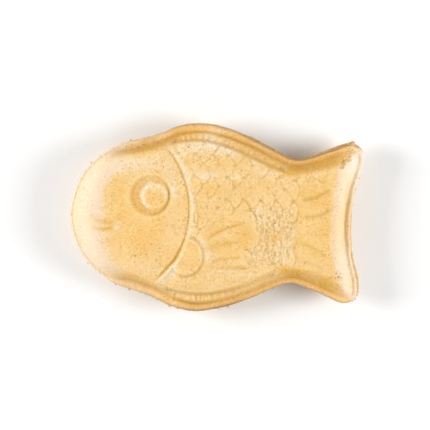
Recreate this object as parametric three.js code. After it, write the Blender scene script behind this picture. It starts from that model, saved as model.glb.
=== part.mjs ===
// Taiyaki: a fish-shaped cake of waffle batter, baked between two hinged irons and joined at a seam.
// Millimetres. +X runs to the tail, +Y to the back of the fish, +Z up; the cake lies flat on its side.
// Each iron presses the same fish, so both sides carry one relief, mirrored in the plane of the seam.
import * as THREE from "three";

// ---- overall sizes ----
const SEAM_GAP = 0.9; // half the height between the two lip edges
const SEAM_INSET = 0.7; // how deep the seam runs in behind the lips
const SLIP = { x: 0.6, y: 0.2, turn: 0.7 }; // how far the lower half sits off the upper one, mm and degrees
const REST_DEPTH = 12.7; // the underside sags flat at this depth below the seam

// ---- the rim, stations along the back edge from nose to tail fork; the belly edge mirrors them ----
// x, y, width of the lip, reach of the slope, inset of the scale panel
const STATIONS = [
  [-75.0, 0.0, 2.6, 15.0, 15.0],
  [-73.2, 11.0, 2.6, 14.0, 14.0],
  [-68.5, 21.0, 2.5, 10.5, 10.5],
  [-60.0, 30.2, 2.4, 7.6, 7.6],
  [-50.0, 36.2, 2.4, 6.4, 6.4],
  [-40.0, 39.1, 2.4, 6.2, 6.2],
  [-31.0, 41.9, 2.6, 6.2, 6.6],
  [-21.0, 46.3, 2.9, 5.8, 8.6],
  [-9.0, 48.2, 3.1, 5.8, 9.4],
  [4.0, 46.0, 3.1, 5.8, 9.4],
  [18.0, 41.0, 2.9, 5.8, 9.0],
  [30.0, 35.2, 2.4, 6.2, 7.6],
  [39.5, 31.7, 1.7, 7.2, 7.2],
  [48.0, 33.7, 1.6, 8.2, 8.2],
  [58.0, 37.7, 1.6, 9.4, 9.4],
  [67.5, 40.7, 1.8, 10.2, 10.2],
  [73.0, 37.6, 2.2, 10.4, 10.4],
  [73.7, 31.0, 2.6, 10.4, 10.4],
  [70.5, 18.0, 3.0, 9.8, 9.8],
  [68.8, 0.0, 3.1, 9.2, 9.2],
];
const STATION_BLUR = 6; // mm over which neighbouring stations blend

// ---- heights above the seam edge ----
const LIP_HEIGHT = 2.6;
const VALLEY_DEPTH = 0.55; // below the lip
const BAND_HEIGHT = 5.9; // the crimped bands under the dorsal and ventral fins
const CROWN = [ // x, height of the pressed face along the middle
  [-75, 11.4], [-56, 12.2], [-34, 13.0], [-8, 13.4], [20, 12.4], [41, 10.3], [60, 9.2], [75, 8.8],
];
const CROSS_FALL = 2.1; // how much lower the face lies at 40 mm from the middle

// ---- the head ----
const GILL = { x: -62.6, y: 1.5, r: 48, from: -46, to: 43, depth: 1.0, ridge: 1.0, ridgeWidth: 2.6 };
const EYE = {
  pit: { x: -34.5, y: 10.2, r: 10.3, depth: 1.0 },
  ball: { x: -32, y: 10, r: 7.3, height: 1.05 },
};

// ---- the scales ----
const SCALE = { x0: -4, y0: 5, pitchX: 8.4, pitchY: 10, a: 4.5, b: 5.2, power: 1.35, lift: 0.5, length: 4.5 };
const SCALED = { toX: 38.5, fromY: -23 }; // no scales on the tail, nor on the belly below the fin

// ---- the pectoral fin ----
const FIN_EDGE = [
  [-9, -10], [-2, -3.5], [7, 1.8], [17, 4.4], [20.3, 0], [22.3, -9], [17, -15.2], [19, -20.5], [16, -24.6],
  [5, -25.6], [-7, -26.5],
];
const FIN_LIFT = 0.5;
const LOBE = { x: -15, y: -20.5, a: 8.5, b: 10, lift: 0.8 };

// ---- crimps pressed into the bands ----
const CRIMP = { pitch: 3.9, height: 0.24, from: -22, to: 30 };

// ---- creases pressed in: start, middle, end, width, depth ----
const CREASES = [
  [[-64, -1.5], [-59, -4.6], [-51, -5.4], 0.7, 0.4], // upper lip of the mouth
  [[-64, -6.5], [-58, -9.2], [-50.5, -5.5], 0.8, 0.6], // lower lip
  [[-4, -9], [4, -4.6], [16, -2.6], 0.8, 0.55], // rays of the pectoral fin
  [[-6, -18], [4, -15.3], [15.5, -11.6], 0.8, 0.5],
  [[-5.5, -22.5], [5, -20.6], [15, -19.6], 0.7, 0.4],
  [[-5, -27.6], [6, -27.6], [17, -28.4], 0.7, 0.25],
  [[-21, 38.6], [-21.4, 41], [-22, 43.6], 0.6, 0.5], // roots of the dorsal and ventral fins
  [[-20.4, -38.6], [-20.2, -41], [-20, -43.4], 0.6, 0.5],
  [[41, 11], [49, 12.6], [58, 17.4], 0.9, 0.55], // rays of the tail
  [[41, 17], [47, 21.4], [56, 22.4], 0.9, 0.3],
  [[43, 2.6], [51, 2.8], [58.6, 6.6], 0.9, 0.55],
  [[42, -5.5], [49, -6], [57, -6.4], 0.8, 0.3],
  [[42, -10.4], [51, -13.4], [59, -19], 0.9, 0.55],
  [[42, -19.6], [48, -19.8], [55, -24.2], 0.8, 0.35],
];

// ---- faceting ----
const RIM_POINTS = 176;
const RIM_ROWS = [0, 0.14, 0.45, 1.0]; // rows of the lip, in lip widths from the edge
const GUIDE_GAP = 0.6; // guide points keep this far apart
const SAMPLE_PITCH = 0.8;
const FACE_POINTS = { upper: 2700, lower: 1640 }; // spent along the lines, then where the facets stray most

const clamp = (t) => Math.min(1, Math.max(0, t));
const ease = (a, b, t) => {
  const u = clamp((t - a) / (b - a));
  return u * u * (3 - 2 * u);
};
const bell = (t, w) => Math.exp(-(t * t) / (w * w));

function lerpTable(table, x) {
  const i = Math.min(table.length - 2, Math.max(0, table.findIndex(([s]) => s > x) - 1));
  const [[xa, za], [xb, zb]] = [table[i], table[i + 1]];
  return za + (zb - za) * ease(0, 1, clamp((x - xa) / (xb - xa)));
}

// ---- the closed edge: the stations, then their mirror images back to the nose ----
const loop = [...STATIONS, ...STATIONS.slice(1, -1).reverse().map(([x, y, ...rest]) => [x, -y, ...rest])];
const edgeCurve = new THREE.CatmullRomCurve3(
  loop.map(([x, y]) => new THREE.Vector3(x, y, 0)), true, "centripetal");
edgeCurve.arcLengthDivisions = 2000;
const EDGE_LENGTH = edgeCurve.getLength();
const edge = edgeCurve.getSpacedPoints(RIM_POINTS * 2).slice(0, -1);

// Lip width, slope reach and panel inset at any spot, blended from the stations near it.
function sizesAt(x, y) {
  const sum = [0, 0, 0];
  let total = 0;
  for (const [sx, sy, ...sizes] of loop) {
    const w = Math.exp(-((x - sx) ** 2 + (y - sy) ** 2) / (2 * STATION_BLUR ** 2)) + 1e-30;
    sizes.forEach((s, i) => (sum[i] += w * s));
    total += w;
  }
  return sum.map((s) => s / total);
}

// The nearest spot of a line of points: how far off it lies, and how many steps along the line.
function nearest(x, y, line, steps) {
  let best = Infinity, at = 0;
  for (let i = 0; i < steps; i++) {
    const a = line[i], b = line[(i + 1) % line.length];
    const ux = b.x - a.x, uy = b.y - a.y;
    const t = clamp(((x - a.x) * ux + (y - a.y) * uy) / (ux * ux + uy * uy));
    const d2 = (x - a.x - t * ux) ** 2 + (y - a.y - t * uy) ** 2;
    if (d2 < best) [best, at] = [d2, i + t];
  }
  return { off: Math.sqrt(best), at };
}

// Distance in from a closed line, negative outside it.
function within(x, y, line) {
  let inside = false;
  for (let i = 0, n = line.length; i < n; i++) {
    const a = line[i], b = line[(i + 1) % n];
    if (a.y > y !== b.y > y && x < a.x + ((y - a.y) / (b.y - a.y)) * (b.x - a.x)) inside = !inside;
  }
  const { off, at } = nearest(x, y, line, line.length);
  return { d: inside ? off : -off, at };
}

const curve = (points, closed = false) =>
  new THREE.CatmullRomCurve3(points.map(([x, y]) => new THREE.Vector3(x, y, 0)), closed, "centripetal");
const finEdge = curve(FIN_EDGE, true).getPoints(60).slice(0, -1);
const creases = CREASES.map(([from, mid, to, width, depth]) => {
  return { line: curve([from, mid, to]).getPoints(10), width, depth };
});

function creaseDepth(x, y) {
  let sum = 0;
  for (const { line, width, depth } of creases) {
    const { off, at } = nearest(x, y, line, line.length - 1);
    const t = at / (line.length - 1);
    sum += depth * bell(off, width) * ease(0, 0.15, t) * ease(1, 0.85, t);
  }
  return sum;
}

// Overlapping scales: rounded diamonds whose free edges point to the tail, laid from the tail forwards.
const rowOf = (k) => SCALE.y0 + (k % 2 ? SCALE.pitchY / 2 : 0);
function scaleLift(x, y) {
  const { x0, pitchX, pitchY, a, b, power, lift, length } = SCALE;
  const first = Math.floor((x - x0) / (pitchX / 2)) + 1;
  let z = 0;
  for (let k = first; k > first - 4; k--) {
    const cx = x0 + (k * pitchX) / 2;
    if (cx > SCALED.toX) continue;
    const m = Math.round((y - rowOf(k)) / pitchY), cy = rowOf(k) + m * pitchY;
    const u = Math.max((x - cx) / a, 0), v = Math.abs(y - cy) / b;
    const out = ((u ** power + v ** power) ** (1 / power) - 1) * a;
    const cover = ease(0.35, -0.35, out), worn = 1 + 0.25 * Math.sin(12.9 * k + 78.2 * m);
    z += cover * (lift * worn * ease(-length, 0, out) - z);
  }
  return z;
}

// Height of the pressed face above the seam edge; the cake's weight flattens it at the ceiling.
function relief(x, y, ceiling = Infinity) {
  const { d, at } = within(x, y, edge), along = (at * EDGE_LENGTH) / edge.length;
  const [lip, reach, inset] = sizesAt(x, y);
  const knobs = Math.sin(along * 1.7) * Math.sin(along * 0.63 + 1) * 0.08;
  if (d < lip * 0.5) return (LIP_HEIGHT + knobs * clamp(d)) * Math.sqrt(clamp(1 - (1 - d / (lip * 0.5)) ** 2));
  const foot = lip * 1.35;
  const valley = LIP_HEIGHT + knobs * ease(foot, lip, d) - VALLEY_DEPTH * ease(lip * 0.5, foot, d);
  if (d < foot) return valley;

  // the face inside the rim: a slope, and on the back and belly a crimped band with a step above it
  const face = Math.min(ceiling, lerpTable(CROWN, x) - CROSS_FALL * (y / 40) ** 2);
  const banded = ease(0.2, 2, inset - reach);
  const terrace = face + (BAND_HEIGHT - face) * banded + 0.25 * banded * (d - reach);
  const slope = Math.sin((Math.PI / 2) * clamp((d - foot) / (reach - foot)));
  const step = ease(inset - 0.9, inset + 1.1, d);
  const rise = 1 - 0.1 * banded * ease(inset + 6, inset, d);
  let z = valley + (terrace - valley) * slope;
  z += (face * rise - z) * step * banded;
  const inBand = banded * ease(lip + 2, reach, d) * ease(inset, inset - 1.4, d);
  const crimped = ease(CRIMP.from - 2, CRIMP.from + 2, x) * ease(CRIMP.to + 2, CRIMP.to - 2, x);
  z += CRIMP.height * inBand * crimped * Math.cos((2 * Math.PI * along) / CRIMP.pitch);

  // gill cover: the cheek drops into a crease, and the body rises behind it in a ridge
  const inner = ease(foot, reach, d);
  const gx = x - GILL.x, gy = y - GILL.y, beyond = Math.hypot(gx, gy) - GILL.r;
  const turn = (Math.atan2(gy, gx) * 180) / Math.PI;
  const gill = ease(GILL.from - 3, GILL.from + 3, turn) * ease(GILL.to + 2, GILL.to - 4, turn) * inner;
  z -= GILL.depth * gill * bell(beyond, beyond < 0 ? 1.0 : 0.7);
  z += GILL.ridge * gill * bell(beyond - GILL.ridgeWidth / 2, GILL.ridgeWidth * 0.6) * ease(0, 1, beyond);

  // eye: a round pit with a ball that sits to its tail side
  const { pit, ball } = EYE;
  const rp = Math.hypot(x - pit.x, y - pit.y), rb = Math.hypot(x - ball.x, y - ball.y);
  z -= pit.depth * ease(pit.r + 0.6, pit.r - 1.8, rp);
  z += ball.height * ease(ball.r + 0.7, ball.r - 1.3, rb) * (rp < pit.r + 1 ? 1 : 0);
  z += 0.35 * bell(rp - pit.r - 1, 0.9) * inner;

  // pectoral fin and its lobe, then the scales round them
  const body = ease(GILL.ridgeWidth * 0.6, GILL.ridgeWidth * 1.4, beyond);
  const fin = ease(-0.5, 0.7, within(x, y, finEdge).d) * body;
  const rl = Math.hypot((x - LOBE.x) / LOBE.a, (y - LOBE.y) / LOBE.b);
  const lobe = ease(1.06, 0.9, rl) * ease(0.4, 2.2, beyond);
  z += FIN_LIFT * fin * (1 - lobe) + LOBE.lift * lobe - 0.3 * bell((rl - 1.1) * LOBE.a, 0.7) * body;
  const scaled = body * (1 - fin) * (1 - lobe) * ease(inset - 0.4, inset + 1.2, d) *
    ease(SCALED.fromY - 2, SCALED.fromY + 2, y);
  z += scaled * scaleLift(x, y);

  return Math.min(ceiling, z) - creaseDepth(x, y) * inner;
}

// ---- guide points, set along both sides of every line of the relief so that the facets follow it ----
function guides() {
  const found = [];
  const row = (from, to, pitch, place) => {
    const n = Math.max(2, Math.round(Math.abs(to - from) / pitch));
    for (let i = 0; i <= n; i++) found.push(place(from + ((to - from) * i) / n));
  };
  const ring = (x, y, a, b, pitch, from = 0, to = 360) => {
    row((from * Math.PI * a) / 180, (to * Math.PI * a) / 180, pitch, (s) => [
      x + a * Math.cos(s / a), y + b * Math.sin(s / a)]);
  };
  const beside = (line, offset, pitch) => {
    row(0, line.getLength(), pitch, (s) => {
      const u = Math.min(1, s / line.getLength()), p = line.getPointAt(u), t = line.getTangentAt(u);
      return [p.x - t.y * offset, p.y + t.x * offset];
    });
  };
  for (const off of [0, 1.4, -1.5, 3.6]) {
    ring(GILL.x, GILL.y, GILL.r + off, GILL.r + off, 2.1, GILL.from, GILL.to);
  }
  const { pit, ball } = EYE;
  for (const r of [ball.r + 0.9, ball.r - 1.3]) ring(ball.x, ball.y, r, r, 1.9);
  for (const r of [pit.r - 1.9, pit.r + 0.9]) ring(pit.x, pit.y, r, r, 2.1);
  for (const off of [1.4, -0.2]) ring(LOBE.x, LOBE.y, LOBE.a + off, LOBE.b + off, 1.9, -100, 75);
  for (const off of [0.6, -0.6]) beside(curve(FIN_EDGE, true), off, 1.9);
  for (const [from, mid, to, width] of CREASES) {
    for (const off of [0, width * 1.5, -width * 1.5]) beside(curve([from, mid, to]), off, 2.4);
  }
  // the valley inside the lip and the slope above it; then, on the fins, the step round the scale panel
  const slopeRows = [0, 0.35, 0.7, 1].map((f) => (lip, reach) => lip * 1.35 + f * (reach - lip * 1.35));
  const stepRows = [-0.9, 1.1, -2.6].map((off) => (lip, reach, inset) => {
    return inset - reach > 1 ? inset + off : NaN;
  });
  for (const inward of [...slopeRows, ...stepRows]) {
    row(0, EDGE_LENGTH, slopeRows.includes(inward) ? 3.1 : CRIMP.pitch / 2, (s) => {
      const u = (s / EDGE_LENGTH) % 1, p = edgeCurve.getPointAt(u), t = edgeCurve.getTangentAt(u);
      const w = inward(...sizesAt(p.x, p.y));
      return [p.x + t.y * w, p.y - t.x * w];
    });
  }
  // the free edge of every scale that shows
  const { x0, pitchX, pitchY, a, b, power } = SCALE;
  for (let k = -3; x0 + (k * pitchX) / 2 <= SCALED.toX; k++) {
    for (let m = -4; m <= 4; m++) {
      for (const off of [-0.35, 0.35]) {
        for (let v = -0.84; v < 0.85; v += 0.42) {
          const u = (1 - Math.abs(v) ** power) ** (1 / power);
          const x = x0 + (k * pitchX) / 2 + u * a + off, y = rowOf(k) + m * pitchY + v * b;
          const { d } = within(x, y, edge), beyond = Math.hypot(x - GILL.x, y - GILL.y) - GILL.r;
          const shows = beyond > 2.6 && y > SCALED.fromY && d > sizesAt(x, y)[2] && within(x, y, finEdge).d < 0;
          if (shows && Math.hypot((x - LOBE.x) / LOBE.a, (y - LOBE.y) / LOBE.b) > 1.1) found.push([x, y]);
        }
      }
    }
  }
  return found;
}

// ---- facets: a Delaunay mesh that takes its next point where it strays furthest from the relief ----
function pressedFace(heightAt, most, budget) {
  const points = [], triangles = [];
  const cross = (a, b, x, y) => (b[0] - a[0]) * (y - a[1]) - (b[1] - a[1]) * (x - a[0]);
  const facet = (a, b, c) => {
    const [p, q, r] = [points[a], points[b], points[c]];
    const bx = q[0] - p[0], by = q[1] - p[1], cx = r[0] - p[0], cy = r[1] - p[1];
    const k = 2 * (bx * cy - by * cx), b2 = bx * bx + by * by, c2 = cx * cx + cy * cy;
    const ux = (cy * b2 - by * c2) / k, uy = (bx * c2 - cx * b2) / k;
    return { at: [a, b, c], x: p[0] + ux, y: p[1] + uy, r2: ux * ux + uy * uy, own: [], worst: null, error: 0 };
  };
  const claim = (t, pool) => {
    const [p, q, r] = t.at.map((i) => points[i]);
    const area = cross(p, q, r[0], r[1]);
    for (const s of pool) {
      if (s.taken) continue;
      const a = cross(q, r, s.x, s.y), b = cross(r, p, s.x, s.y), c = cross(p, q, s.x, s.y);
      if (a < -1e-9 || b < -1e-9 || c < -1e-9) continue;
      s.taken = true;
      t.own.push(s);
      const error = Math.abs((a * p[2] + b * q[2] + c * r[2]) / area - s.z);
      if (error > t.error) [t.error, t.worst] = [error, s];
    }
  };
  const insert = (x, y, z) => {
    const open = triangles.filter((t) => (x - t.x) ** 2 + (y - t.y) ** 2 < t.r2);
    const gone = new Set(open), sides = new Map();
    for (const t of open) {
      t.at.forEach((a, i) => {
        const b = t.at[(i + 1) % 3];
        if (!sides.delete(b + "," + a)) sides.set(a + "," + b, [a, b]);
      });
    }
    const n = points.push([x, y, z]) - 1;
    const kept = triangles.filter((t) => !gone.has(t)), pool = open.flatMap((t) => t.own);
    pool.forEach((s) => (s.taken = s.x === x && s.y === y));
    const made = [...sides.values()].map(([a, b]) => facet(a, b, n));
    made.forEach((t) => claim(t, pool));
    triangles.length = 0;
    triangles.push(...kept, ...made);
  };

  points.push([-1000, -900, 0], [1000, -900, 0], [0, 1200, 0]);
  triangles.push(facet(0, 1, 2));
  for (const row of RIM_ROWS) {
    for (let i = 0; i < RIM_POINTS; i++) {
      const p = edgeCurve.getPointAt(i / RIM_POINTS), t = edgeCurve.getTangentAt(i / RIM_POINTS);
      const inward = row * sizesAt(p.x, p.y)[0];
      const x = p.x + t.y * inward, y = p.y - t.x * inward;
      insert(x, y, row ? heightAt(x, y) : 0);
    }
  }
  budget += points.length;
  const clear = (x, y) => within(x, y, edge).d > sizesAt(x, y)[0] + 0.7;
  // guides and samples are nudged a little, so that no four of them share a circle
  guides().forEach(([gx, gy], i) => {
    const x = gx + 0.04 * Math.sin(7.1 * i), y = gy + 0.04 * Math.sin(3.7 * i + 1);
    const crowded = points.some((p) => Math.hypot(p[0] - x, p[1] - y) < GUIDE_GAP);
    const z = crowded || !clear(x, y) ? most : heightAt(x, y);
    if (z < most) insert(x, y, z);
  });
  const samples = [];
  for (let j = 0, y = -49; y < 49; j++, y += SAMPLE_PITCH) {
    for (let i = 0, x = -76; x < 76; i++, x += SAMPLE_PITCH) {
      const sx = x + 0.21 * Math.sin(12.9 * i + 78.2 * j), sy = y + 0.21 * Math.sin(39.3 * i + 11.1 * j);
      if (clear(sx, sy)) samples.push({ x: sx, y: sy, z: heightAt(sx, sy), i, j, taken: false });
    }
  }
  triangles.forEach((t) => claim(t, samples));
  for (const s of samples.filter(({ i, j }) => i % 8 === 0 && j % 8 === 0)) {
    if (points.every((p) => Math.hypot(p[0] - s.x, p[1] - s.y) > 2)) insert(s.x, s.y, s.z);
  }
  while (points.length < budget) {
    const { worst } = triangles.reduce((a, b) => (b.error > a.error ? b : a));
    insert(worst.x, worst.y, worst.z);
  }
  // what lies between the edge points and outside the edge is dropped
  const faces = triangles.map((t) => t.at).filter((at) => {
    if (Math.min(...at) < 3) return false;
    const [x, y] = [0, 1].map((k) => at.reduce((s, i) => s + points[i][k], 0) / 3);
    return within(x, y, edge).d > 0;
  });
  return { points: points.slice(3), faces: faces.map((at) => at.map((i) => i - 3)) };
}

const upperFace = pressedFace(relief, Infinity, FACE_POINTS.upper);
const rest = REST_DEPTH - SEAM_GAP;
const lowerFace = pressedFace((x, y) => relief(x, y, rest), rest - 0.01, FACE_POINTS.lower);

const turn = (SLIP.turn * Math.PI) / 180;
const slip = ([x, y]) => [
  x * Math.cos(turn) - y * Math.sin(turn) + SLIP.x, x * Math.sin(turn) + y * Math.cos(turn) + SLIP.y];
const upper = upperFace.points.map(([x, y, z]) => [x, y, SEAM_GAP + z]);
const lower = lowerFace.points.map((p) => [...slip(p), -SEAM_GAP - p[2]]);
const seam = upperFace.points.slice(0, RIM_POINTS).map((p, i) => {
  const t = edgeCurve.getTangentAt(i / RIM_POINTS), [lx, ly] = slip(p);
  return [(p[0] + lx) / 2 + t.y * SEAM_INSET, (p[1] + ly) / 2 - t.x * SEAM_INSET, 0];
});
const vertices = [...upper, ...lower, ...seam];
const low = upper.length, mid = low + lower.length;
const lowerIndex = lowerFace.faces.flatMap(([a, b, c]) => [a + low, c + low, b + low]);
const index = [...upperFace.faces.flat(), ...lowerIndex];
for (let i = 0; i < RIM_POINTS; i++) {
  const j = (i + 1) % RIM_POINTS;
  index.push(i, j, mid + i, j, mid + j, mid + i, mid + i, mid + j, low + i, mid + j, low + j, low + i);
}

const geometry = new THREE.BufferGeometry();
geometry.setAttribute("position", new THREE.Float32BufferAttribute(vertices.flat(), 3));
geometry.setIndex(index);
geometry.computeBoundingBox();
const { min, max } = geometry.boundingBox;
geometry.translate(-(min.x + max.x) / 2, -(min.y + max.y) / 2, -min.z);
geometry.computeVertexNormals();

const cake = new THREE.Mesh(geometry, new THREE.MeshStandardMaterial({ color: 0xf0c27e, roughness: 0.85 }));
cake.name = "taiyaki";
const root = new THREE.Group();
root.add(cake);
export default root;
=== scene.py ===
import math
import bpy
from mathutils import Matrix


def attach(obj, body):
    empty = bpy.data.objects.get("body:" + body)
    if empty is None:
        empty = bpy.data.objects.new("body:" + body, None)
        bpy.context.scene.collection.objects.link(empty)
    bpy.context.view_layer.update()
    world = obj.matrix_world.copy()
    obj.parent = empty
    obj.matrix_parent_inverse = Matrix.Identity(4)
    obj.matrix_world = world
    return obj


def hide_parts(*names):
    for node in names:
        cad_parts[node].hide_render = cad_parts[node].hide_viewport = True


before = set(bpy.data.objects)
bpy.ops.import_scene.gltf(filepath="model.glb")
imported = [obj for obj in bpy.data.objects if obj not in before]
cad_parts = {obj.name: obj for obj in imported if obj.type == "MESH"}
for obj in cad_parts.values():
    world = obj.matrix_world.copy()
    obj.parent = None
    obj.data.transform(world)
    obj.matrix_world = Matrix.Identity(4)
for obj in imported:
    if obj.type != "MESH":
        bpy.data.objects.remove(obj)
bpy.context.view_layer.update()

from types import SimpleNamespace
import bpy
import numpy as np
from mathutils import Vector
from mathutils.geometry import delaunay_2d_cdt

add = bpy.context.scene.collection.objects.link

# ---------------------------------------- camera
# Straight above the cake, a little more than a metre up, and turned by the 2.6 degrees that the
# fish lies off level, so that 220 mm of the seam's plane reach across the frame.
FRAME_TURN = math.radians(2.6)
SEAM_DISTANCE, FRAME_WIDTH = 1.1, 0.2206  # metres from the lens to the seam's plane, and across it there
SENSOR_WIDTH = 36.0  # millimetres
camera_data = bpy.data.cameras.new("camera")
camera = bpy.data.objects.new("camera", camera_data)
add(camera)
camera.location = (-0.0007, 0.0014, 1.114)
camera.rotation_euler = (0.0, 0.0, FRAME_TURN)
camera_data.sensor_width = SENSOR_WIDTH
camera_data.lens = SENSOR_WIDTH * SEAM_DISTANCE / FRAME_WIDTH
camera_data.clip_end = 20.0
bpy.context.scene.camera = camera

# ---------------------------------------- cake
# A fish-shaped cake of soft batter, pressed in a pair of hot irons: golden where it touched them,
# cream at the nose and the tail end, tan in the valley inside the lip. The two halves meet at a
# crumbly seam and sit about a millimetre off each other. Sizes here are in millimetres.
STATIONS = np.array([  # x, y, lip width, reach of the slope, inset of the scale panel, nose to tail
    (-75.0, 0.0, 2.6, 15.0, 15.0), (-73.2, 11.0, 2.6, 14.0, 14.0), (-68.5, 21.0, 2.5, 10.5, 10.5),
    (-60.0, 30.2, 2.4, 7.6, 7.6), (-50.0, 36.2, 3.3, 7.4, 7.4), (-40.0, 39.1, 3.3, 7.2, 7.2),
    (-31.0, 41.9, 3.6, 6.8, 7.0), (-21.0, 46.3, 3.0, 5.8, 8.6), (-9.0, 48.2, 3.0, 5.8, 9.2),
    (4.0, 46.0, 3.0, 5.8, 9.2), (18.0, 41.0, 2.9, 5.6, 9.3), (30.0, 35.2, 2.7, 5.5, 8.6),
    (39.5, 31.7, 2.0, 7.4, 7.5), (48.0, 33.7, 2.4, 8.8, 8.8), (58.0, 37.7, 2.5, 9.6, 9.6),
    (67.5, 40.7, 2.3, 10.2, 10.2), (73.0, 37.6, 2.2, 10.4, 10.4), (73.7, 31.0, 2.0, 10.4, 10.4),
    (70.5, 18.0, 2.3, 9.8, 9.8), (68.8, 0.0, 2.5, 9.2, 9.2)])
CROWN = np.array([  # x, height of the face above the seam
    (-75, 11.4), (-56, 12.2), (-34, 13.0), (-8, 13.4), (20, 12.4), (41, 10.3), (60, 9.2), (75, 8.8)])
LIP_HEIGHT, VALLEY_DEPTH, BAND_HEIGHT, CROSS_FALL = 2.6, 0.55, 5.9, 2.1
CRIMP_PITCH, CRIMP_HEIGHT = 3.7, 0.34
SEAM_GAP, REST_DEPTH = 0.9, 12.7  # half the seam's height, and from its middle to the face it rests on
SLIP_X, SLIP_Y, SLIP_TURN = 0.6, 0.2, math.radians(0.7)  # of the lower half against the upper one
GILL = dict(x=-61.9, y=1.5, r=48.0, low=-46.0, high=43.0, depth=0.30, ridge=0.62, width=2.2)
PIT, BALL = (-34.1, 9.9, 10.3), (-32.0, 9.8, 8.0)  # the eye: x, y, radius
LOBE = (-14.8, -20.3, 8.4, 9.6)  # x, y, half length, half width
SCALE = dict(x0=0.1, y0=5.1, pitch_x=8.45, pitch_y=11.12, bulge=4.1, power=1.3, tall=6.38, short=4.74,
             lift=0.42, last=38.5)
FIN_EDGE = [
    (-8.9, -8.9), (-2, -3.5), (5.9, 1.2), (12.8, 3.6), (17.3, 4), (19.8, 1.4), (20, -2.5), (22.1, -9.4),
    (21.1, -12.8), (16.8, -15.4), (18.4, -18), (18, -20.7), (16.6, -22.1), (17.8, -23.9), (13.8, -25.1),
    (4, -25.7), (-6.9, -26.3),
]
CREASES = [  # start, middle, end, width, depth
    # the mouth
    ((-65, -1.3), (-59.6, -3.9), (-50.4, -5.2), 1, 0.36),
    ((-64, -7.1), (-58, -8.3), (-51.4, -6.9), 0.8, 0.42),
    # across the eye
    ((-38, 13), (-31.6, 11.1), (-24.9, 10.1), 0.5, 0.12),
    # behind the gill
    ((-11.4, 3.4), (-11.2, 0), (-10.7, -4), 0.4, 0.3),
    # rays of the fin, and nicks at their ends
    ((-5.9, -6.9), (0, -2.2), (5.2, 0.9), 0.7, 0.28),
    ((-5, -11.3), (3.6, -6), (15, -1.7), 0.6, 0.5),
    ((-4, -16.2), (5.6, -12.9), (14.4, -11.4), 0.95, 0.27),
    ((-2.4, -22.2), (6.4, -20.6), (13.4, -19.4), 0.9, 0.34),
    ((-4, -25.6), (6, -25.3), (17.6, -24.4), 0.9, 0.34),
    ((-1.2, -28.3), (3.6, -28.2), (8, -27.4), 0.5, 0.25),
    ((-2, -30.4), (3, -30), (7, -30.6), 0.45, 0.12),
    ((9.4, -7.1), (10.8, -7.3), (12.2, -7.3), 0.4, 0.35),
    ((14.6, -19.2), (16.4, -19.4), (18.2, -20.4), 0.4, 0.3),
    ((14.8, -20.6), (16.4, -20.8), (18, -21.6), 0.4, 0.25),
    # roots of the fins
    ((-21, 38.3), (-21.4, 40.8), (-22, 43.4), 0.5, 0.6),
    ((-19.4, -39), (-19.6, -41.2), (-20.2, -43.4), 0.5, 0.7),
    # rays of the tail
    ((44.5, 20.2), (50.4, 21.8), (56.8, 20.4), 1, 0.3),
    ((42.5, 10.9), (48.6, 12.2), (58.3, 17.4), 0.95, 0.75),
    ((43.5, 2.4), (50.8, 3.1), (58.8, 6.9), 1, 0.6),
    ((44.5, -5.5), (50.4, -6.1), (57.3, -6.5), 1.2, 0.25),
    ((42.5, -10.7), (50.4, -13.4), (57.3, -17.8), 1.1, 0.4),
    ((43.5, -19.6), (49.4, -21.3), (56.3, -24.1), 1.1, 0.3),
]
TEAR = ((62.7, 29.2), (63.8, 31.6), (66.6, 33.6))
PORES = [  # x, y, radius
    (62.2, -25.6, 0.7), (63.5, -27.2, 0.8), (61.8, -28, 0.6), (64.4, -25.4, 0.6), (62.9, -24.2, 0.5),
    (65, -27.6, 0.5), (63.6, 29.4, 0.5), (63.9, 30.4, 0.35), (66.8, 34.4, 0.65), (65.3, 33, 0.4),
    (-12.8, 27.9, 0.5), (-1.6, 20.4, 0.5), (16.2, -15.4, 0.6), (1, 5.5, 0.5), (-47.9, -17.3, 0.4),
    (-40.5, 25.2, 0.5), (51.4, 21.2, 0.4), (13.8, -7.7, 0.4), (5.8, -4.3, 0.5), (14.2, -1.9, 0.45),
    (-11.4, 0.8, 0.4), (26.3, 1.2, 0.5), (-31.6, 22.5, 0.4), (2.2, -20.7, 0.4),
]
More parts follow.
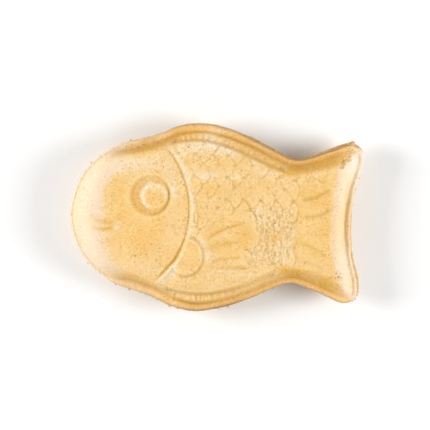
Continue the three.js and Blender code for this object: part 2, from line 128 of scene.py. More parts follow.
# besides rubbed, floury patches, some of these are painted highlights, and those with strength below zero
# hold the lightening back as painted shade
FLOUR_AND_LIGHT_PATCHES = [  # rubbed, floury patches: x, y, half length, half width, slope in degrees, strength
    (-5.9, 21.2, 6, 1.7, 0, 0.85), (8.5, 21.5, 2.6, 1.5, 0, 0.6), (3, 33.9, 6, 2.2, -12, 0.9),
    (-9.9, 35.4, 9, 2.6, 4, 0.8), (-19.3, 32.6, 3, 3, 0, 0.5), (26.7, 23.3, 6, 2.2, -14, 0.28),
    (18.3, 27.9, 2.2, 1.4, -30, 0.6), (-11.9, 0, 2, 10, 0, 0.08), (20.7, 4.9, 1.6, 3.2, 0, 0.25),
    (-7.5, -11.9, 1.6, 4, 40, 0.42), (-3.6, -19.8, 2.6, 2.4, 0, 0.6), (35.2, -19.8, 1.3, 2.6, 0, 0.2),
    (31.6, -18.8, 0.9, 2.6, 0, 0.15), (23.7, -18.8, 1.1, 3.4, 0, 0.15), (3, -27.3, 5.5, 1.5, 3, 0.22),
    (-24.8, -32.2, 4, 2, 42, 0.6), (-6.4, -15.6, 1.3, 2.4, 0, 0.5), (-25.9, 11, 1.3, 2.8, 0, 0.7),
    (-39.9, 13.6, 1.5, 3, -15, 0.5), (62, 28.8, 1.5, 2.2, 0, 0.6), (-9.5, 12.8, 2.4, 2.4, 0, 0.35),
    (-14.5, -12.6, 1.6, 1.6, 0, -0.3), (10, 2.2, 7, 1, 18, -0.35), (28.3, -6, 2.5, 2, 0, 0.3),
    (-54.6, -11.6, 3, 2, 0, 0.4), (-11.9, -9.9, 1.4, 2.2, 0, 0.4),
    (-20.7, -28.1, 2.2, 3.4, -20, 0.8), (41.5, -4.9, 3, 1.8, 20, 0.12),
    (41.5, -19, 3.4, 2.6, 0, -0.15), (49.4, 23.9, 9, 1.6, 14, 0.12), (-50.2, -6.5, 2.6, 1.2, 80, 0.8),
    (-4, 39.8, 7, 3.2, -4, 0.35), (-4, 43.6, 5, 1.6, 0, 0.35), (-44.5, 25.3, 15, 4, 4, 0.62),
    (-24.2, 19.8, 3.4, 8, 25, 0.22), (-22.1, 11.4, 1.1, 3.6, 0, 0.8), (-35.6, -27.2, 9, 2.4, -14, 0.28),
    (18.8, -1, 1.2, 4.6, 0, 0.1), (11.9, -28.3, 8, 2.4, 4, 0.2), (7.9, -5.3, 4, 1, 22, -0.4),
    (2.6, -9.6, 5, 1.3, 22, 0.25), (3.4, -18, 5, 1.6, 8, 0.15), (4.4, -27.2, 6, 1, 2, 0.1),
    (10.5, -8.4, 4, 1.4, 10, 0.15), (-30.5, 14.2, 5, 2.6, -12, 0.42), (17.8, 21.7, 3, 3, 0, 0.3),
]
GOLD = [  # deep golden: x, y, half length, half width
    (-41.5, -3, 15, 18), (49.4, 0, 9, 19), (-13.8, -20.7, 6, 8), (6.9, -9.9, 11, 10),
    (29.6, -7.9, 4, 3), (-5.9, 13.8, 7, 4), (-31.6, 9.4, 5.5, 5.5), (-47, -33, 8, 3.5),
    (56.5, 21, 5, 7),
]
SPECKLED = [  # thick with flecks: x, y, half length, half width
    (-41.5, 25.7, 17, 4.5), (-21.7, 19.8, 5, 9), (-10.9, 1, 3, 12), (-33.6, -19.8, 11, 7),
    (-5.9, 33.6, 16, 5), (27.7, -7.9, 10, 15), (61.3, -26.7, 4, 4), (48.4, -2, 5, 5),
    (-4.9, 11.9, 9, 5), (-9.9, 28.7, 8, 4), (24.4, -22.7, 3, 2.5), (38.3, -22, 3, 2.5),
]
OILY = [  # deeper yellow spots: x, y, half length, half width, slope in degrees, strength
    (6.7, -12.2, 2.4, 1.2, 20, 1), (-3.2, -15.8, 1.6, 1, 10, 0.7), (15.5, -6, 3.4, 5, 0, 0.6),
    (16.2, -15.2, 1.3, 1.1, 0, 1), (10.6, -19.8, 2.4, 0.9, 8, 0.8), (12.6, -24.6, 4.4, 1, 0, 0.9),
    (0.5, -22.4, 2.4, 1, 0, 0.6), (9, -3.6, 5, 1.2, 20, 0.8), (16.8, 21.6, 3.4, 3.2, 0, 0.5),
    (8, 16.4, 2, 3, 0, 0.4), (32.6, -6.8, 3.4, 1.8, 0, 0.3), (41.4, -10.5, 1.6, 4, 0, 0.6),
    (-10.4, -28.6, 4, 1.2, 25, 0.3), (15.6, 6.2, 1.4, 2.6, 0, 0.5), (6.7, -12.6, 1.6, 0.9, 15, 1.5),
    (51, -16.5, 4, 2.5, -25, 0.7), (42.6, 4.4, 1, 3.6, 0, 0.9), (43.2, 13.6, 1.1, 4.6, 0, 0.7),
    (-51, 14, 5, 5, 0, 0.2), (61, -32.6, 4, 1.6, -20, 0.8), (66.4, 8, 1, 14, 0, 0.7),
]
# how tan the valley is, from nose to tail: at these x, these shares
BACK_VALLEY = ((-60, -45, -32, -20, -10, -4, 4, 14, 33, 42), (0, 0.5, 1, 0.9, 0.5, 0.2, 0.8, 0.85, 0.75, 0))
BELLY_VALLEY = ((-60, -45, -32, -22, -12, -2, 8, 18, 28, 40), (0, 0, 0, 0.1, 1, 0.75, 0.5, 0.5, 0.35, 0))
FLAKES = [  # crushed scales: x, y, half width, half height
    (19.4, -18.8, 1.6, 4.4), (23.8, -19.2, 0.9, 2.6), (27.8, -19.4, 1.8, 3.3), (31.6, -19.2, 1.1, 2.8),
    (35, -20, 1.5, 2.8), (24.2, -12.6, 1.5, 2.2), (27.6, -13, 1.3, 2.2), (31.6, -12.4, 1.5, 2.2),
    (35.9, -13.4, 1.1, 2.8), (24.2, -6.4, 1.4, 2.4), (28, -7.2, 1.4, 2.4), (33.6, -6.8, 3, 2.6),
    (31, -2.6, 1.2, 2.8), (25.4, -1.8, 1.9, 2.8), (21.6, -0.6, 1.1, 2.6), (28.2, 0.6, 1.1, 2.4),
    (34.6, -1, 1.9, 2), (37, 1, 1.2, 2.2), (39.2, -6.2, 1.2, 2.8), (39.6, -18.8, 1.8, 2.6),
    (22, 5, 1.2, 2.4), (39, -13.6, 1.2, 1.8),
]


def ease(a, b, t):
    u = np.clip((t - a) / (b - a), 0.0, 1.0)
    return u * u * (3.0 - 2.0 * u)


def bell(t, width):
    return np.exp(-(t * t) / (width * width))


def lumps(x, y, size, seed, octaves=2):
    """A smooth random field of about -1 to 1, with lumps of the given size."""
    total = np.zeros(np.shape(x))
    for k in range(octaves):
        u, v = x / size * 2 ** k + 17.3 * seed, y / size * 2 ** k - 9.1 * seed
        i, j = np.floor(u), np.floor(v)
        fu, fv = ease(0, 1, u - i), ease(0, 1, v - j)
        corner = [[np.sin((i + a) * 127.1 + (j + b) * 311.7 + seed * 74.7) * 43758.5453 % 1.0 * 2 - 1
                   for b in (0, 1)] for a in (0, 1)]
        near, far = (c[0] + (c[1] - c[0]) * fv for c in corner)
        total += 0.5 ** k * (near + (far - near) * fu)
    return total


def smooth_line(points, closed, per):
    """Centripetal Catmull-Rom curve through the points, per steps between two of them."""
    p = np.asarray(points, float)
    p = np.vstack([p[-1:], p, p[:2]]) if closed else np.vstack([2 * p[0] - p[1], p, 2 * p[-1] - p[-2]])
    out = []
    for q in range(len(p) - 3):
        a, b, c, d = p[q:q + 4]
        ta = np.hypot(*(b - a)) ** 0.5
        tb = ta + np.hypot(*(c - b)) ** 0.5
        tc = tb + np.hypot(*(d - c)) ** 0.5
        for t in np.linspace(ta, tb, per, endpoint=False):
            ab = (t / ta) * (b - a) + a
            bc = b + (t - ta) / (tb - ta) * (c - b)
            cd = c + (t - tb) / (tc - tb) * (d - c)
            abc, bcd = ab + t / tb * (bc - ab), bc + (t - ta) / (tc - ta) * (cd - bc)
            out.append(abc + (t - ta) / (tb - ta) * (bcd - abc))
    return np.array(out if closed else out + [p[-2]])


def nearest(x, y, line, closed):
    """How far off a line the points lie, and at which step of it."""
    best, at = np.full(x.shape, 1e9), np.zeros(x.shape)
    ends = np.roll(line, -1, axis=0)
    for i in range(len(line) if closed else len(line) - 1):
        a, u = line[i], ends[i] - line[i]
        t = np.clip(((x - a[0]) * u[0] + (y - a[1]) * u[1]) / (u @ u), 0.0, 1.0)
        d2 = (x - a[0] - t * u[0]) ** 2 + (y - a[1] - t * u[1]) ** 2
        nearer = d2 < best
        best, at = np.where(nearer, d2, best), np.where(nearer, i + t, at)
    return np.sqrt(best), at


def within(x, y, line):
    """Distance in from a closed line, negative outside it, and the step of the line."""
    inside = np.zeros(x.shape, bool)
    for a, b in zip(line, np.roll(line, -1, axis=0)):
        if a[1] != b[1]:
            crossing = a[0] + (y - a[1]) / (b[1] - a[1]) * (b[0] - a[0])
            inside ^= ((a[1] > y) != (b[1] > y)) & (x < crossing)
    off, at = nearest(x, y, line, True)
    return np.where(inside, off, -off), at


# the belly mirrors the back, but for a narrower lip and longer slopes at the jaw and the tail root
belly = STATIONS[1:-1][::-1] * (1, -1, 1, 1, 1)
belly[:, 4] = np.maximum(belly[:, 3], belly[:, 4] - 1.6 * np.exp(-((belly[:, 0] - 16) / 14) ** 2))
belly[:, 2] -= 0.6 * np.exp(-((belly[:, 0] - 1) / 22) ** 2) + 0.4 * np.exp(-((belly[:, 0] - 54) / 12) ** 2)
belly[:, 3] += 0.8 * np.exp(-((belly[:, 0] - 44) / 8) ** 2)
belly[:, 3:] += 3.2 * np.exp(-((belly[:, 0:1] + 49) / 8) ** 2)
loop = np.vstack([STATIONS, belly])
edge = smooth_line(loop[:, :2], True, 12)
edge_steps = np.hypot(*(np.roll(edge, -1, axis=0) - edge).T)
edge_along = np.concatenate([[0.0], np.cumsum(edge_steps)])
fin_edge = smooth_line(FIN_EDGE, True, 6)


def sizes_at(x, y):
    """Lip width, slope reach and panel inset at any spot, blended from the stations near it."""
    total, weights = np.zeros(x.shape + (3,)), np.zeros(x.shape)
    for sx, sy, *sizes in loop:
        w = np.exp(-((x - sx) ** 2 + (y - sy) ** 2) / 72.0) + 1e-30
        total += w[..., None] * sizes
        weights += w
    return np.moveaxis(total / weights[..., None], -1, 0)


def spot(x, y, middle_x, middle_y, half_length, half_width):
    """A soft oval patch: 1 at its middle, and gone at about twice its size."""
    return bell(np.hypot((x - middle_x) / half_length, (y - middle_y) / half_width), 1.0)


def slanted(x, y, middle_x, middle_y, half_length, half_width, slope):
    """The same patch with its length turned by slope degrees."""
    c, q = math.cos(math.radians(slope)), math.sin(math.radians(slope))
    along = ((x - middle_x) * c + (y - middle_y) * q) / half_length
    across = ((y - middle_y) * c - (x - middle_x) * q) / half_width
    return bell(np.hypot(along, across), 1.0)


def lip_and_face(x, y, ceiling, f):
    """The lip with its rounded edge, the valley inside it, and the slope up to the domed face. On the
    back and the belly a crimped band lies between them, with a step above it."""
    knobs = 0.16 * lumps(x, y, 2.6, f.seed + 1)
    lip_top = LIP_HEIGHT + knobs * np.clip(f.d, 0, 1)
    f.round_over = f.lip * (0.36 + 0.25 * ease(66, 70, x))
    f.outer = lip_top * np.sqrt(np.clip(1 - (1 - f.d / f.round_over) ** 2, 0, 1))
    domed = np.where(y > 0, ease(-46, -58, x), ease(-42, -52, x))
    f.tail_end = ease(62, 68, x)
    f.foot = f.lip * (1.35 - 0.75 * domed - 0.07 * f.tail_end)
    depth = VALLEY_DEPTH * (1 - domed) * (1 - 0.7 * ease(-14, -22, x) * (y < 0))
    depth = depth * (1 - f.tail_end * (0.5 + 0.4 * ease(9, 22, np.abs(y - 5))))
    f.valley = lip_top - depth * ease(f.lip * (0.55 + 0.22 * f.tail_end), f.foot, f.d)

    k = np.clip(np.searchsorted(CROWN[:, 0], x, side="right") - 1, 0, len(CROWN) - 2)
    face = CROWN[k, 1] + (CROWN[k + 1, 1] - CROWN[k, 1]) * ease(CROWN[k, 0], CROWN[k + 1, 0], x)
    face = np.minimum(ceiling - 0.6, face - CROSS_FALL * (y / 40) ** 2)
    f.banded = ease(0.2, 2.0, f.inset - f.reach)
    terrace = face + (BAND_HEIGHT - face) * f.banded + 0.25 * f.banded * (f.d - f.reach)
    slope = np.sin(np.pi / 2 * np.clip((f.d - f.foot) / (f.reach - f.foot), 0, 1))
    softer = 1 + 0.9 * ease(4, 16, x) * (y < 0)
    step = ease(f.inset - 0.9 * softer, f.inset + 1.1 * softer, f.d)
    z = f.valley + (terrace - f.valley) * slope
    z += (face * (1 - 0.1 * f.banded * ease(f.inset + 6, f.inset, f.d)) - z) * step * f.banded
    in_band = f.banded * ease(f.lip + 2, f.reach, f.d) * ease(f.inset, f.inset - 1.4, f.d)
    crimped = in_band * ease(-24, -20, x) * np.where(y > 0, ease(32, 26, x), ease(16, 2, x))
    uneven = 0.6 + 0.7 * lumps(x, y, 9.0, f.seed + 2)
    wave = 2 * np.pi * f.along / CRIMP_PITCH + 2.5 * lumps(x, y, 8.0, f.seed + 3)
    f.ripple = crimped * uneven * np.cos(wave)
    f.inner = ease(f.foot, f.reach, f.d)
    return z + CRIMP_HEIGHT * f.ripple


def gill_cover(x, y, z, f):
    """The cheek drops into a crease, deepest low down, and the body rises behind it."""
    gx, gy = x - GILL["x"], y - GILL["y"]
    f.turn = np.degrees(np.arctan2(gy, gx))
    f.beyond = np.hypot(gx, gy) - GILL["r"] + 0.7 * ease(-29, -36, f.turn)
    f.gill = ease(GILL["low"] - 3, GILL["low"] + 3, f.turn)
    f.gill = f.gill * ease(GILL["high"] + 2, GILL["high"] - 4, f.turn) * f.inner
    f.low_down = bell(f.turn + 34, 10)
    f.body = ease(GILL["width"] * 0.6, GILL["width"] * 1.4, f.beyond)
    z -= GILL["depth"] * f.gill * bell(f.beyond, np.where(f.beyond < 0, 0.5 + 0.3 * f.low_down, 0.45))
    ridge = bell(f.beyond - GILL["width"] / 2, GILL["width"] * 0.6)
    return z + GILL["ridge"] * f.gill * ridge * ease(0, 1, f.beyond)


def eye(x, y, z, f):
    """A round pit with a raised rim, and a ball to its tail side."""
    f.rp, f.rb = np.hypot(x - PIT[0], y - PIT[1]), np.hypot(x - BALL[0], y - BALL[1])
    f.ball = ease(BALL[2] + 0.3, BALL[2] - 2.6, f.rb) * (f.rp < PIT[2] + 1)
    f.eye_fold = bell(f.rp - 9.8, 0.7) * ease(-36, -29, x) * (1 - 0.7 * ease(13, 18, y))
    pit = 1.0 * ease(PIT[2] + 0.9, PIT[2] - 2.0, f.rp)
    z += 1.15 * f.ball - pit + 0.3 * bell(f.rp - PIT[2] - 1.2, 1.2) * f.inner
    return z - 0.4 * f.eye_fold


def pectoral_fin(x, y, z, f):
    """The fin behind the gill, and the round lobe it grows from."""
    f.fin_off = within(x, y, fin_edge)[0]
    f.fin = ease(-0.5, 0.7, f.fin_off) * f.body
    rl = np.hypot((x - LOBE[0]) / LOBE[2], (y - LOBE[1]) / LOBE[3])
    f.lobe = ease(1.06, 0.9, rl) * ease(0.4, 2.2, f.beyond)
    tail_side = ease(-5, 3, x - LOBE[0] + 0.3 * np.maximum(LOBE[1] - y, 0))
    f.round_lobe = bell((rl - 1.1) * LOBE[2], 0.7) * f.body * tail_side
    f.fin_line = bell(f.fin_off + 0.4, 0.6) * ease(11, 16, x) * f.body
    return z + (0.3 * f.fin * (1 - f.lobe) + 0.8 * f.lobe - 0.3 * f.round_lobe)


def scale_rows(x, y, f):
    """Rounded diamonds laid from the tail forwards, each over the one behind it: how far they lift
    the skin, the gaps along their edges, and the worn knots where their corners meet."""
    wx, wy = x + 0.3 * lumps(x, y, 6.0, f.seed + 4), y + 0.3 * lumps(x, y, 6.0, f.seed + 5)
    step_x, pitch_y = SCALE["pitch_x"] / 2, SCALE["pitch_y"]
    first = np.floor((wx - SCALE["x0"]) / step_x) + 1
    lift, gap, knots = np.zeros(x.shape), np.zeros(x.shape), np.zeros(x.shape)
    for col in (first + 1, first, first - 1):
        odd = col % 2 != 0
        cx = SCALE["x0"] + col * step_x
        up = np.where(odd, SCALE["short"], SCALE["tall"])
        tip = SCALE["y0"] + np.where(odd, 0, SCALE["short"])
        row = np.floor((wy - tip + pitch_y - up) / pitch_y)
        off = wy - tip - row * pitch_y
        v = np.where(off > 0, off / up, -off / (pitch_y - up))
        u = (wx - cx) / SCALE["bulge"]
        shown = cx <= SCALE["last"]
        last_row = shown & (cx > SCALE["last"] - 2)
        power = np.where(last_row, 1.9, SCALE["power"])
        u = u * np.where(last_row, 1.3, 1.0)
        out = ((np.maximum(u, 0) ** power + v ** power) ** (1 / power) - 1) * SCALE["bulge"] * 0.8
        cover = ease(0.5, -0.5, out) * shown
        worn = 1 + 0.45 * np.sin(12.9 * col + 78.2 * row)
        low_rise = np.where(~odd & (off > 0), 1 - 0.7 * v, 1 - 0.3 * v ** 2)
        lift += cover * (SCALE["lift"] * worn * ease(-1.6, 1.0, u) * low_rise - lift)
        by_side = np.where(off < 0, np.where(odd, 0.8, 1.3), np.where(odd, 1.15, 0.35))
        # the gaps of the last row are darkest: painted shadow right of their arcs
        dark = np.where(last_row, 2.0, worn * by_side)
        width = np.where(last_row, 0.65, 0.5)
        gap = np.maximum(gap * (1 - cover), bell(out - 0.2, width) * shown * dark)
        to_knot = np.minimum(np.abs(off - up), np.abs(off + pitch_y - up))
        knot = bell(np.hypot(wx - cx + 0.2, to_knot), 0.9) * shown
        knots = np.maximum(knots, knot * (1 + 0.4 * np.sin(7.3 * col + 31.7 * row)))
    return lift, gap, knots


def broken_scales(x, y):
    """Bits of crushed scale that stand up behind the fin, and the edge on the tail side of each, which dips
    and gets painted shadow.
    """
    flakes, flake_edge = np.zeros(x.shape), np.zeros(x.shape)
    bent_x, bent_y = x + 0.5 * lumps(x, y, 1.9, 71, 3), y + 0.9 * lumps(x, y, 2.2, 72, 3)
    for px, py, rx, ry in FLAKES:
        across = (bent_x - px) / rx
        r = np.hypot(across, (bent_y - py) / ry)
        flakes = np.maximum(flakes, ease(1.15, 0.75, r) * (0.6 + 0.4 * np.clip(across, -1, 1)))
        dark = bell((r - 1.15) * min(rx, 1.6), 0.35) * ease(-0.2, 0.8, across)
        flake_edge = np.maximum(flake_edge, dark)
    return flakes, flake_edge


def scaled_skin(x, y, z, f):
    """The scales, and on the tail side of the fin the crinkled, rubbed crust where they are crushed."""
    f.scaled = f.body * (1 - f.fin) * (1 - f.lobe) * ease(f.inset - 0.4, f.inset + 1.2, f.d)
    f.scaled = f.scaled * ease(-25, -21, y)
    lift, f.gap, f.knots = scale_rows(x, y, f)
    crushed = ease(16, 20, x) * ease(43, 37, x) * ease(-25, -22, y) * ease(9, 3, y)
    f.crinkle = crushed * (1 - f.fin) * (f.seed == 1)
    middle = 1 - 0.6 * bell(np.hypot(x - 29.5, y + 7.5), 3.5)
    f.crinkle *= np.clip(1.15 - 0.5 * lumps(x, y, 9.0, 53), 0.3, 1.3) * middle
    behind_fin = 1 - 0.7 * ease(0, -5, y) * ease(16, 24, x)
    f.scaled *= (1 - 0.55 * np.clip(f.crinkle, 0, 1)) * behind_fin
    f.gap *= np.clip(0.65 + 0.6 * lumps(x, y, 3.2, f.seed + 9), 0.1, 1.2)
    sharp = 1 - np.abs(lumps(x - 0.2 * y, y * 0.45, 1.8, f.seed + 16)) * 2
    f.folds = 0.5 * lumps(x + 0.2 * y, y * 0.4, 1.3, f.seed + 6) + 0.5 * sharp
    flakes, flake_edge = broken_scales(x, y)
    f.flakes, f.flake_edge = flakes * (f.seed == 1), flake_edge * (f.seed == 1)
    z += f.scaled * (1.0 * lift - 0.15 * f.gap - 0.22 * f.knots) + f.crinkle * 0.27 * f.folds
    z += (1 - f.fin) * (0.17 * f.flakes - 0.08 * f.flake_edge)
    return z - 0.2 * f.fin_line


def creases_and_pores(x, y, z, f):
    """Creases, and on the side that shows the tear above the tail and the larger pores."""
    f.crease = np.zeros(x.shape)
    for start, mid, end, width, depth in CREASES:
        line = smooth_line([start, mid, end], False, 6)
        off, t = nearest(x, y, line, False)
        t /= len(line) - 1
        ends = ease(0, 0.2, t) * ease(1, 0.85, t)
        f.crease += depth * ends * (0.6 * bell(off, 0.8 * width) + 0.5 * bell(off, 1.8 * width))
        z -= depth * f.inner * ends * (0.6 * bell(off, width) + 0.4 * bell(off, 2.4 * width))
    f.torn, f.split = np.zeros(x.shape), 0.0
    if f.seed == 1:
        slit = nearest(x, y, smooth_line(TEAR, False, 6), False)[0] + 0.5 * lumps(x, y, 1.3, 61)
        f.torn += 0.3 * ease(1.4, 0.9, slit) * np.clip(0.1 + 1.5 * lumps(x, y, 1.3, 62), 0, 1)
        f.split = ease(1.3, 0.7, slit)
        z += 0.3 * bell(slit - 1.5, 0.5) - 0.5 * ease(1.3, 0.6, slit)
        for px, py, r in PORES:
            f.torn += 1.0 * r * bell(np.hypot(x - px, y - py), r * 0.95)
    return z - f.torn * f.inner


def pale_skin(x, y, d):
    """Where the skin stayed cream, at the nose and the tail end, and where painted light makes it nearly
    white at the tail's corners.
    """
    end = 68.8 + 0.0053 * y * y - x
    side = (31.7 + (x - 39.5) * 0.321 - np.abs(y)) * 0.952
    border = end - 0.3 - 0.9 * ease(4, 22, y) - 0.7 * bell(y + 11, 7)
    tail = ease(11.0, 8.4, border) * ease(-5.0, 0.0, side - end) * ease(48, 58, x)
    tail = tail * (1 - 0.42 * bell(y + 1, 15))
    lip_line = 1 - 0.7 * bell(d - 2.9, 0.75) * bell(y - 3, 17)
    tail *= lip_line * (1 - 0.4 * ease(3.4, 2.6, d) * bell(y - 2, 16))
    tail *= 1 - 0.6 * spot(x, y, 71, -30, 2.5, 5.0)

    # the cheek is a golden square with round corners, and the nose is what lies outside it
    square, under = np.where(y > -4, 5.0, 3.0), ease(0, -14, y)
    cheek = (np.abs((x + 30) / 27.4) ** square + np.abs((y + 4) / 25.6) ** square) ** (1 / square)
    cheek = cheek + 0.03 * lumps(x, y, 5.0, 81)
    nose = ease(0.95 - 0.09 * under, 1.08 + 0.05 * under, cheek) * ease(-38, -56, x)
    nose = nose * (1 - 0.2 * ease(-66, -72, x)) * (1 - 0.4 * ease(-52, -44, x))
    nose *= 1 - 0.5 * bell(d - 5.0, 2.2) * ease(-64, -57, x) * (y > 0)
    nose *= 1 - 0.8 * spot(x, y + 0.2 * (x + 47), -47, -33.0, 9.0, 3.2)
    nose *= 1 - 0.55 * spot(x, y, -57.5, -4.6, 5.5, 3.2)
    pale = np.maximum(tail, nose)
    pale *= 1 - 0.4 * spot(x, y, 68.6, 35.6, 3.0, 2.5)
    # painted light: the cream at the tail's corners made nearly white, where the lamps leave them dimmer
    whitened_by_painted_light = (0.9 * spot(x, y, 68.5, 32, 5.5, 9) + 0.35 * spot(x, y, 68.0, -30, 4.5, 8)) * pale
    return pale, whitened_by_painted_light


def tan_skin(x, y, f):
    """Where the skin turned tan: the wall at the tail, the valley, the bands, the mouth and the eye."""
    wall = ease(f.reach + 1.2, f.reach - 2.4, f.d) * ease(f.lip * 0.55, f.foot, f.d)
    wall = wall * (1 - f.banded) * ease(25, 36, x) * (1 - f.pale) * ease(67, 57, x)
    belly_wall = 0.72 + 0.25 * lumps(x, y, 4.0, 91)
    wall = wall * np.where(y > 0, 0.9 - 0.1 * ease(50, 60, x), belly_wall)
    valley_share = np.where(y > 0, np.interp(x, *BACK_VALLEY), np.interp(x, *BELLY_VALLEY))
    valley = bell(f.low, 1.5) * valley_share

    # the step above the band, the band itself, and the slope and lip of the belly
    belly_step = ease(-22, 0, x) * (1 - 0.5 * ease(8, 20, x))
    step = 0.55 * f.banded * bell(f.d - f.inset + 0.3, 0.9)
    step = step * np.where(y > 0, 1 - 0.8 * bell(x + 5, 9), belly_step)
    band = f.banded * ease(10, 4, f.d) * (1 - 0.6 * ease(3.6, 2.4, f.d) * ease(12, 20, x))
    band = band * np.where(y > 0, 0.3 + 0.14 * ease(-6, -12, x) + 0.2 * ease(4, 14, x), 0.15)
    band = band * (1 - 0.7 * bell(x + 5, 7))
    jaw = 0.28 * ease(9, 6, f.d) * ease(2, 4, f.d) * ease(-48, -36, x) * ease(-22, -30, x)
    belly_lip = 0.35 * ease(4, 1.5, f.d) * ease(-24, -10, x) * ease(30, 18, x)

    # round the eye, along the mouth and on the brow
    ring_share = (0.14 + 0.46 * ease(-28, -40, x)) * (1 - 0.6 * ease(13, 19, y))
    in_ring = ease(PIT[2] + 0.4, PIT[2] - 1.0, f.rp) * (1 - f.ball)
    lower_lip = 0.35 * spot(x, y, -56.0, -8.1, 5.5, 1.0) + 0.4 * bell(np.hypot(x + 49.7, y + 2.0), 1.8)
    upper_lip = 0.25 * spot(x, y + 0.12 * (x + 55.5), -54.5, -4.7, 6.0, 1.3)
    tan = np.maximum.reduce([wall, valley, step, band, jaw * (y < 0), belly_lip * (y < 0),
                             ring_share * in_ring, lower_lip, upper_lip, 0.9 * f.brow])

    # the roots of the tail and of the back fin, the lip of the back, and a stain each side of the fork
    tan += 0.9 * spot(x, y, 37.2, 24.8, 4.5, 2.4) + 0.65 * spot(x, y, 35.5, -24.9, 3.8, 2.0)
    tan += 0.25 * spot(x, y, -15.5, 41.8, 4.0, 2.0)
    tan += 0.38 * bell(f.d - 1.6, 1.0) * (ease(32, 36, x) * ease(69, 65, x) + bell(x + 36, 5)) * (y > 0)
    stain = 0.35 * bell(np.hypot(x - 65.2, y - 31.8), 2.2)
    stain = stain + 0.45 * bell(np.hypot(x - 63.9, y + 28.4), 2.4)
    return np.maximum(tan, 0.8 * stain * (f.seed == 1))


def rim_browned_and_shaded(x, y, f):
    """The edge of the lip, browned along the back and the belly, with painted shade on its outer wall and a
    painted shadow line along the seam.
    """
    back = 0.5 + 0.3 * ease(0, 14, x) * ease(40, 24, x)
    under = 0.55 - 0.3 * ease(14, 22, x) * ease(46, 38, x) + 0.5 * ease(-22, -8, x) * ease(16, 6, x)
    thick = 1 + np.where(y > 0, 0.5, 0.1) * ease(10, 18, x) * ease(38, 32, x)
    rim_brown_and_shade = ease(2.8, 0.3, f.d) * thick * ease(-62, -20, x)
    rim_brown_and_shade = rim_brown_and_shade * (1 - 0.85 * f.pale) * np.where(y > 0, back, under)
    # painted shadow of the seam along the upper edge of the tail
    tail_lip = bell(f.d - 0.4, 0.6) * ease(26, 36, x) * ease(69, 65, x)
    tail_lip = tail_lip * (y > 0) * (0.4 + 0.6 * (f.seed == 1))
    rim_brown_and_shade = rim_brown_and_shade * (1 - 0.8 * f.tail_end * ease(0.4, 0.9, f.d)) + tail_lip
    # painted shadow: a thin dark line just inside the edge, along the seam
    line = (0.3 + 0.5 * ease(-2, 6, x) * ease(42, 34, x) * (y < 0)) * bell(f.d - 0.3, 0.6)
    return rim_brown_and_shade + line * ease(-40, -20, x) * ease(66, 60, x)


def grooves_browned_and_shaded(x, y, f):
    """The dark of creases, scale gaps, folds, the gill and the valley: partly browned crust, and partly
    painted shade in these hollows, with painted shadow on the tail side of the lobe, the flakes, the eye's
    pit and the last row of scales.
    """
    pit_floor = ease(PIT[2] + 0.4, PIT[2] - 1.4, f.rp) * (1 - f.ball)
    # painted shade in the creases, scale gaps and knots and on the floor of the eye's pit, over their own
    # browning
    groove_brown_and_shade = f.crease * 0.95 + 0.36 * f.scaled * f.gap + 0.5 * f.scaled * f.knots + 0.1 * pit_floor
    groove_brown_and_shade = groove_brown_and_shade + f.crack + 1.6 * f.eye_fold
    # painted shadow on the tail side of the lobe and of the flakes, and painted shade in the fin line and
    # in the folds of the crushed crust
    groove_brown_and_shade += (0.5 * f.round_lobe + 0.35 * f.fin_line
               + 0.25 * f.crinkle * np.clip(-f.folds - 0.3, 0, 1) + 0.35 * f.flake_edge * (1 - f.fin))
    groove_brown_and_shade += 0.2 * spot(x, y, 24.6, -21.0, 2.5, 4.0) + 0.15 * spot(x, y, -4.5, 21.5, 3.0, 1.5)
    groove_brown_and_shade += 0.4 * bell(f.d - 2.7, 0.7) * bell(x + 10, 6) * (y < 0)
    valley = np.where(y > 0, 0.3 * bell(x - 8, 14), 0.95 * bell(x + 11.0, 7))
    groove_brown_and_shade += bell(f.low, 1.0) * valley + 0.5 * f.brow * ease(-56, -40, x)
    return np.clip(groove_brown_and_shade, 0, 1.6)


def flour_and_painted_light_mask(x, y, f):
    """Where the skin is rubbed or floury and looks lighter. Partly this is painted light: highlights on the
    eye's ball on its left, on the ridge behind the gill, on the lip, at the start of the brow and on crests
    of folds, crimps and flakes, and patches below zero that hold it back as painted shade.
    """
    gold = np.zeros(x.shape)
    for px, py, rx, ry in GOLD:
        gold = np.maximum(gold, ease(1.25, 0.75, np.hypot((x - px) / rx, (y - py) / ry)))
    behind_gill = f.gill * (1 - 0.65 * bell(f.turn + 14, 15)) * bell(f.beyond - 1.7, 1.1)
    flour_and_painted_light = 0.2 * (1 - gold) * (1 - f.tan) + 0.7 * behind_gill * ease(0.5, 1.2, f.beyond)
    # painted highlight on the slope of the eye's ball that faces the left lamp
    flour_and_painted_light += 0.9 * bell(f.rb - BALL[2] + 1.8, 1.5) * (f.rp < PIT[2]) * ease(-31, -36, x)
    # the lip lighter: partly pale crust, partly painted light where the lip lies in shade
    on_lip = (0.3 - 0.2 * ease(2, 14, x) * (y < 0)) * ease(f.lip * 1.1, f.lip * 0.6, f.d)
    flour_and_painted_light += (0.22 * f.crinkle * np.clip(0.8 + f.folds, 0, 1)
              + 0.1 * (1 - f.fin) * f.flakes * (1 - ease(-12, -4, y))
              + on_lip + 0.3 * np.clip(f.ripple, -0.4, 1))
    # painted light at the start of the brow, where its slope lies in shade
    flour_and_painted_light += 0.2 * bell(f.d - 2.6, 1.4) * bell(x + 55, 5) * (y > 0)
    for *patch, strength in FLOUR_AND_LIGHT_PATCHES:
        flour_and_painted_light += strength * slanted(x, y, *patch) * (1.0 if f.seed == 1 else 0.4)
    return np.clip(flour_and_painted_light, 0, 1)


